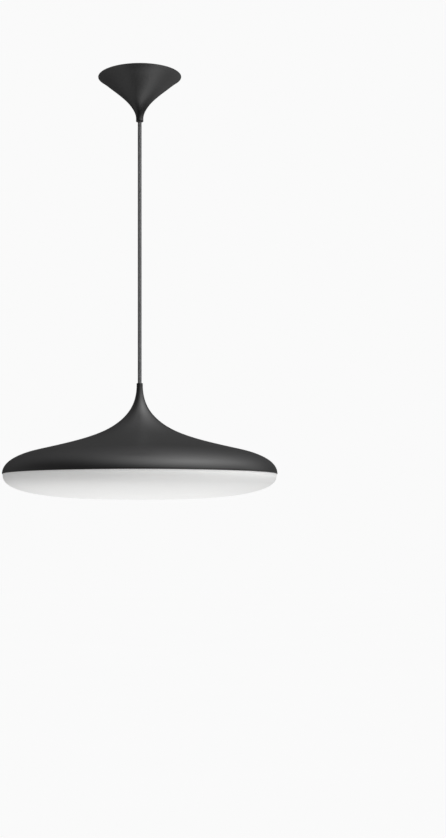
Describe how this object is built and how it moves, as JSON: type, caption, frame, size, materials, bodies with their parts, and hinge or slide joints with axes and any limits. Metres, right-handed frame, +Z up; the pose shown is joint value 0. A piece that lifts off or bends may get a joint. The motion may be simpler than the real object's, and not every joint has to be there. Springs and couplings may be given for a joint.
{
  "type": "pendant lamp",
  "caption": "Ceiling pendant lamp: wide trumpet-shaped black metal shade with an opal bowl diffuser, hung by one round cable from a trumpet-shaped canopy.",
  "frame": {"origin": "centre of the ceiling plate's upper face, which lies against the ceiling", "axes": "+Z up, out of the ceiling plate's upper face; the lamp hangs along -Z; +X and +Y level, with the two fixing slots along X and the supply entry on the -Y side"},
  "size_m": [0.4766, 0.4766, 0.7348],
  "materials": {
    "black_paint": "matt black powder coat, very fine texture",
    "black_cable": "fine round textile braid over a PVC-sheathed three-core cable",
    "black_rubber": "matt moulded rubber",
    "opal": "opal acrylic, satin",
    "white_plastic": "moulded polyamide",
    "grey_plastic": "moulded polycarbonate, fine texture",
    "zinc_steel": "zinc plated",
    "brass": "plain",
    "aluminium": "turned",
    "white_coat": "white powder coat on aluminium sheet",
    "spring_steel": "bright spring strip",
    "white_board": "white solder mask with yellow LED packages",
    "green_board": "green solder mask with its components",
    "wire_brown": "PVC insulation",
    "wire_blue": "PVC insulation",
    "wire_earth": "PVC insulation, green with a yellow stripe",
    "wire_red": "PVC insulation",
    "wire_black": "PVC insulation"
  },
  "bodies": {
    "ceiling": {"ceiling_plate": "zinc_steel", "grip_stirrup": "zinc_steel", "stirrup_screw_left": "zinc_steel", "stirrup_screw_right": "zinc_steel", "cord_grip_body": "white_plastic", "cord_grip_nut": "zinc_steel", "cord_grip_screw": "brass", "terminal_block": "white_plastic", "terminal_screw_live": "zinc_steel", "terminal_screw_neutral": "zinc_steel", "terminal_screw_earth": "zinc_steel", "live_lead": "wire_brown", "neutral_lead": "wire_blue", "earth_lead": "wire_earth", "earth_tag": "brass", "earth_screw": "zinc_steel", "earth_bond_lead": "wire_earth", "mains_entry_grommet": "black_rubber", "cable_upper": "black_cable"},
    "canopy": {"canopy_shell": "black_paint", "canopy_lock_collar": "white_plastic", "canopy_lock_screw": "zinc_steel"},
    "grommet": {"mouth_grommet": "black_rubber"},
    "cable": {"suspension_cable": "black_cable"},
    "neck": {"neck_bush": "black_rubber"},
    "shade": {"shade_neck": "black_paint", "shade_flare": "black_paint", "shade_flank": "black_paint", "shade_skirt": "black_paint", "support_cone": "aluminium", "hollow_nipple": "zinc_steel", "carrier_bracket": "zinc_steel", "nipple_washer": "zinc_steel", "nipple_nut": "zinc_steel", "shade_cord_grip": "white_plastic", "shade_grip_screw": "brass", "cable_tail": "black_cable", "driver_case": "grey_plastic", "driver_cover": "grey_plastic", "driver_board": "green_board", "driver_lead_live": "wire_brown", "driver_lead_neutral": "wire_blue", "shade_earth_lead": "wire_earth", "shade_earth_screw": "brass", "led_plate": "white_coat", "plate_screw_1": "zinc_steel", "plate_screw_2": "zinc_steel", "led_board_inner": "white_board", "led_board_outer": "white_board", "led_lead_positive": "wire_red", "led_lead_negative": "wire_black", "reflector_ring": "white_coat", "reflector_screw_1": "zinc_steel", "reflector_screw_2": "zinc_steel", "reflector_screw_3": "zinc_steel", "bowl_spring_1": "spring_steel", "bowl_spring_2": "spring_steel", "bowl_spring_3": "spring_steel"},
    "bowl": {"diffuser_side": "opal", "diffuser_floor": "opal"}
  },
  "joints": [
    {"name": "canopy_slide", "type": "slide", "parent": "ceiling", "child": "canopy", "axis": [0, 0, 1], "range_m": [-0.25, 0], "deforming": ["cable_upper"]},
    {"name": "cable_twist", "type": "hinge", "parent": "canopy", "child": "grommet", "pos_m": [0, 0, -0.0764], "axis": [0, 0, 1], "range_deg": [-180, 180]},
    {"name": "cable_swing", "type": "hinge", "parent": "grommet", "child": "cable", "pos_m": [0, 0, -0.0764], "axis": [0, 1, 0], "range_deg": [-15, 15]},
    {"name": "cable_feed", "type": "slide", "parent": "cable", "child": "neck", "axis": [0, 0, 1], "range_m": [0, 0.25], "deforming": ["suspension_cable"]},
    {"name": "shade_tilt", "type": "hinge", "parent": "neck", "child": "shade", "pos_m": [0, 0, -0.533], "axis": [0, 1, 0], "range_deg": [-10, 10]},
    {"name": "bowl_release", "type": "slide", "parent": "shade", "child": "bowl", "axis": [0, 0, 1], "range_m": [-0.12, 0]}
  ],
  "couplings": [
    {"joint": "cable_feed", "follows": "canopy_slide", "ratio": -1}
  ]
}
